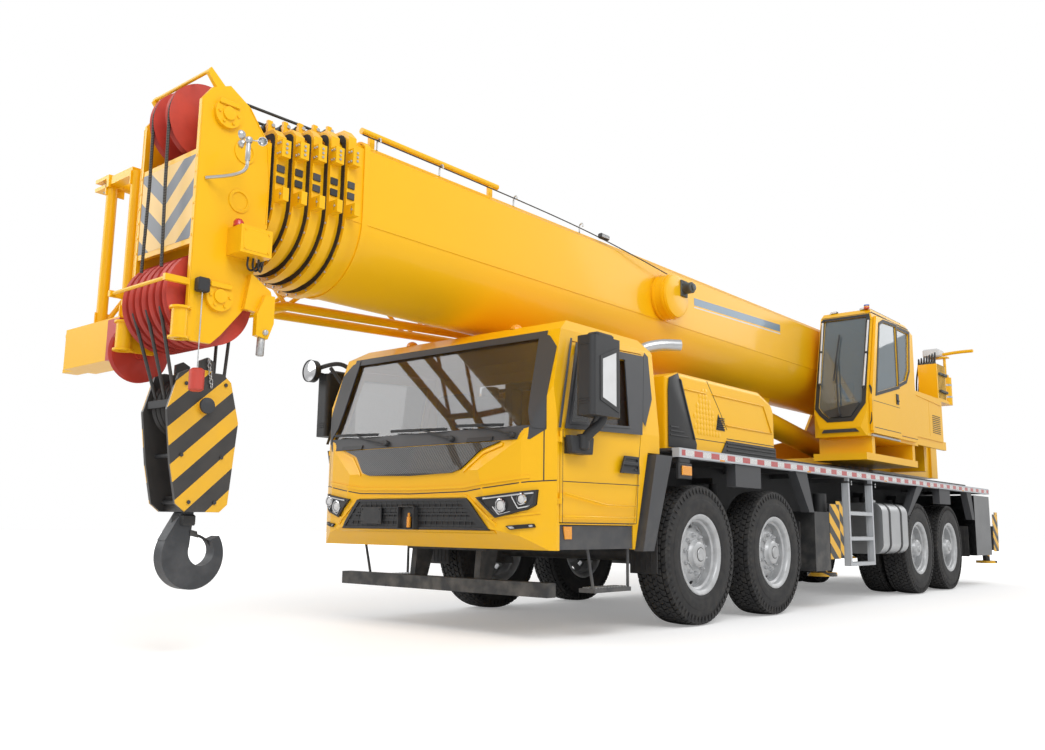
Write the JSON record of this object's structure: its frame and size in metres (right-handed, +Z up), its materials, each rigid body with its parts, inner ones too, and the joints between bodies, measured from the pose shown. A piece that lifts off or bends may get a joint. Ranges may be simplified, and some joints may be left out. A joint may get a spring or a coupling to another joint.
{
  "type": "mobile crane",
  "caption": "All-terrain truck crane with a stowed telescopic boom, folded jib, hook block, outriggers, driver's cab and a slewing operator's cab.",
  "frame": {"origin": "on the ground under the middle of the overall length and width", "axes": "+X towards the driver's cab and the boom head, +Y to the machine's left, +Z up"},
  "size_m": [14.6085, 3.2949, 3.732],
  "materials": {
    "yellow_paint": "gloss crane yellow",
    "dark_paint": "satin dark grey chassis paint",
    "grey_paint": "satin light grey paint",
    "glass": "tinted safety glass",
    "black_plastic": "matte black moulding",
    "rubber": "black tyre with silver rim",
    "bare_aluminium": "bright aluminium",
    "stainless": "brushed steel",
    "cast": "dark cast steel",
    "red_sheave": "red sheaves",
    "chrome": "ground chrome rod",
    "blue_seat": "blue seat cloth",
    "dark_seat": "dark seat cloth"
  },
  "bodies": {
    "chassis": {"axles": "dark_paint", "cab_glass": "glass", "cab_interior": "dark_seat", "chassis_frame": "dark_paint", "deck": "grey_paint", "driver_cab": "yellow_paint", "engine": "cast", "engine_hood": "yellow_paint", "fenders": "dark_paint", "front_grille": "black_plastic", "fuel_tank": "bare_aluminium", "slew_ring": "cast", "tool_boxes": "stainless", "underrun_bar": "dark_paint"},
    "knuckle_1_left": {"knuckle_1_left": "cast"},
    "wheel_1_left": {"wheel_1_left": "rubber"},
    "knuckle_1_right": {"knuckle_1_right": "cast"},
    "wheel_1_right": {"wheel_1_right": "rubber"},
    "knuckle_2_left": {"knuckle_2_left": "cast"},
    "wheel_2_left": {"wheel_2_left": "rubber"},
    "knuckle_2_right": {"knuckle_2_right": "cast"},
    "wheel_2_right": {"wheel_2_right": "rubber"},
    "wheel_3_left": {"wheel_3_left": "rubber"},
    "wheel_3_right": {"wheel_3_right": "rubber"},
    "wheel_4_left": {"wheel_4_left": "rubber"},
    "wheel_4_right": {"wheel_4_right": "rubber"},
    "door_left": {"cab_door_left": "yellow_paint", "cab_door_glass_left": "glass", "mirror_left": "black_plastic"},
    "door_right": {"cab_door_right": "yellow_paint", "cab_door_glass_right": "glass", "mirror_right": "black_plastic"},
    "beam_front_left": {"outrigger_beam_front_left": "yellow_paint"},
    "jack_front_left": {"outrigger_jack_front_left": "chrome"},
    "beam_front_right": {"outrigger_beam_front_right": "yellow_paint"},
    "jack_front_right": {"outrigger_jack_front_right": "chrome"},
    "beam_rear_left": {"outrigger_beam_rear_left": "yellow_paint"},
    "jack_rear_left": {"outrigger_jack_rear_left": "chrome"},
    "beam_rear_right": {"outrigger_beam_rear_right": "yellow_paint"},
    "jack_rear_right": {"outrigger_jack_rear_right": "chrome"},
    "superstructure": {"turntable": "yellow_paint", "counterweight": "yellow_paint", "winches": "yellow_paint", "operator_cab": "yellow_paint", "operator_glass": "glass", "operator_seat": "blue_seat"},
    "operator_door": {"operator_door": "dark_paint", "operator_door_glass": "glass"},
    "boom_base": {"boom_base": "yellow_paint", "jib": "yellow_paint"},
    "boom_section_2": {"boom_section_2": "yellow_paint"},
    "boom_section_3": {"boom_section_3": "yellow_paint"},
    "boom_section_4": {"boom_section_4": "yellow_paint"},
    "boom_section_5": {"boom_section_5": "yellow_paint"},
    "boom_head": {"boom_head": "yellow_paint", "head_sheaves": "red_sheave"},
    "luffing_barrel": {"luffing_barrel": "yellow_paint"},
    "luffing_rod": {"luffing_rod": "chrome"},
    "hook_block": {"hook_block": "yellow_paint"},
    "hook": {"hook": "cast"}
  },
  "joints": [
    {"name": "steer_1_left", "type": "hinge", "parent": "chassis", "child": "knuckle_1_left", "pos_m": [2.64, 0.985, 0.61], "axis": [0, 0, 1], "range_deg": [-34, 34]},
    {"name": "roll_1_left", "type": "hinge", "parent": "knuckle_1_left", "child": "wheel_1_left", "pos_m": [2.64, 0, 0.61], "axis": [0, 1, 0], "continuous": true},
    {"name": "steer_1_right", "type": "hinge", "parent": "chassis", "child": "knuckle_1_right", "pos_m": [2.64, -0.985, 0.61], "axis": [0, 0, 1], "range_deg": [-34, 34]},
    {"name": "roll_1_right", "type": "hinge", "parent": "knuckle_1_right", "child": "wheel_1_right", "pos_m": [2.64, 0, 0.61], "axis": [0, 1, 0], "continuous": true},
    {"name": "steer_2_left", "type": "hinge", "parent": "chassis", "child": "knuckle_2_left", "pos_m": [1.17, 0.985, 0.61], "axis": [0, 0, 1], "range_deg": [-27.2, 27.2]},
    {"name": "roll_2_left", "type": "hinge", "parent": "knuckle_2_left", "child": "wheel_2_left", "pos_m": [1.17, 0, 0.61], "axis": [0, 1, 0], "continuous": true},
    {"name": "steer_2_right", "type": "hinge", "parent": "chassis", "child": "knuckle_2_right", "pos_m": [1.17, -0.985, 0.61], "axis": [0, 0, 1], "range_deg": [-27.2, 27.2]},
    {"name": "roll_2_right", "type": "hinge", "parent": "knuckle_2_right", "child": "wheel_2_right", "pos_m": [1.17, 0, 0.61], "axis": [0, 1, 0], "continuous": true},
    {"name": "roll_3_left", "type": "hinge", "parent": "chassis", "child": "wheel_3_left", "pos_m": [-3.33, 0, 0.61], "axis": [0, 1, 0], "continuous": true},
    {"name": "roll_3_right", "type": "hinge", "parent": "chassis", "child": "wheel_3_right", "pos_m": [-3.33, 0, 0.61], "axis": [0, 1, 0], "continuous": true},
    {"name": "roll_4_left", "type": "hinge", "parent": "chassis", "child": "wheel_4_left", "pos_m": [-4.68, 0, 0.61], "axis": [0, 1, 0], "continuous": true},
    {"name": "roll_4_right", "type": "hinge", "parent": "chassis", "child": "wheel_4_right", "pos_m": [-4.68, 0, 0.61], "axis": [0, 1, 0], "continuous": true},
    {"name": "door_left_hinge", "type": "hinge", "parent": "chassis", "child": "door_left", "pos_m": [4.655, 1.334, 1.5], "axis": [0, 0, -1], "range_deg": [0, 65]},
    {"name": "door_right_hinge", "type": "hinge", "parent": "chassis", "child": "door_right", "pos_m": [4.655, -1.334, 1.5], "axis": [0, 0, 1], "range_deg": [0, 65]},
    {"name": "beam_front_left_slide", "type": "slide", "parent": "chassis", "child": "beam_front_left", "axis": [0, 1, 0], "range_m": [0, 1.7]},
    {"name": "jack_front_left_slide", "type": "slide", "parent": "beam_front_left", "child": "jack_front_left", "axis": [0, 0, -1], "range_m": [0, 0.6]},
    {"name": "beam_front_right_slide", "type": "slide", "parent": "chassis", "child": "beam_front_right", "axis": [0, -1, 0], "range_m": [0, 1.7]},
    {"name": "jack_front_right_slide", "type": "slide", "parent": "beam_front_right", "child": "jack_front_right", "axis": [0, 0, -1], "range_m": [0, 0.6]},
    {"name": "beam_rear_left_slide", "type": "slide", "parent": "chassis", "child": "beam_rear_left", "axis": [0, 1, 0], "range_m": [0, 1.7]},
    {"name": "jack_rear_left_slide", "type": "slide", "parent": "beam_rear_left", "child": "jack_rear_left", "axis": [0, 0, -1], "range_m": [0, 0.6]},
    {"name": "beam_rear_right_slide", "type": "slide", "parent": "chassis", "child": "beam_rear_right", "axis": [0, -1, 0], "range_m": [0, 1.7]},
    {"name": "jack_rear_right_slide", "type": "slide", "parent": "beam_rear_right", "child": "jack_rear_right", "axis": [0, 0, -1], "range_m": [0, 0.6]},
    {"name": "slew", "type": "hinge", "parent": "chassis", "child": "superstructure", "pos_m": [-3.11, 0, 1.71], "axis": [0, 0, 1], "continuous": true},
    {"name": "operator_door_slide", "type": "slide", "parent": "superstructure", "child": "operator_door", "axis": [-1, 0, 0], "range_m": [0, 0.6]},
    {"name": "luff", "type": "hinge", "parent": "superstructure", "child": "boom_base", "pos_m": [-5.26, 0, 3.15], "axis": [0, -1, 0], "range_deg": [0, 80]},
    {"name": "telescope_1", "type": "slide", "parent": "boom_base", "child": "boom_section_2", "axis": [1, 0, 0], "range_m": [0, 10.1]},
    {"name": "telescope_2", "type": "slide", "parent": "boom_section_2", "child": "boom_section_3", "axis": [1, 0, 0], "range_m": [0, 10.1]},
    {"name": "telescope_3", "type": "slide", "parent": "boom_section_3", "child": "boom_section_4", "axis": [1, 0, 0], "range_m": [0, 10.1]},
    {"name": "telescope_4", "type": "slide", "parent": "boom_section_4", "child": "boom_section_5", "axis": [1, 0, 0], "range_m": [0, 10.1]},
    {"name": "telescope_5", "type": "slide", "parent": "boom_section_5", "child": "boom_head", "axis": [1, 0, 0], "range_m": [0, 10.1]},
    {"name": "barrel_swing", "type": "hinge", "parent": "superstructure", "child": "luffing_barrel", "pos_m": [-4.11, 0, 1.865], "axis": [0, -1, 0], "range_deg": [0, 77.46]},
    {"name": "rod_slide", "type": "slide", "parent": "luffing_barrel", "child": "luffing_rod", "axis": [0.9902, 0, 0.1399], "range_m": [0, 2.2102]},
    {"name": "block_swing", "type": "hinge", "parent": "boom_head", "child": "hook_block", "pos_m": [6.93, 0, 2.24], "axis": [0, -1, 0], "range_deg": [-80, 0]},
    {"name": "hook_swivel", "type": "hinge", "parent": "hook_block", "child": "hook", "pos_m": [6.838, 0, 0.9], "axis": [0, 0, 1], "continuous": true}
  ],
  "couplings": [
    {"joint": "steer_1_right", "follows": "steer_1_left", "ratio": 1},
    {"joint": "steer_2_left", "follows": "steer_1_left", "ratio": 0.8},
    {"joint": "steer_2_right", "follows": "steer_1_left", "ratio": 0.8},
    {"joint": "barrel_swing", "follows": "luff", "ratio": 0.96811},
    {"joint": "rod_slide", "follows": "luff", "m_per_rad": 1.5822},
    {"joint": "block_swing", "follows": "luff", "ratio": -1}
  ]
}
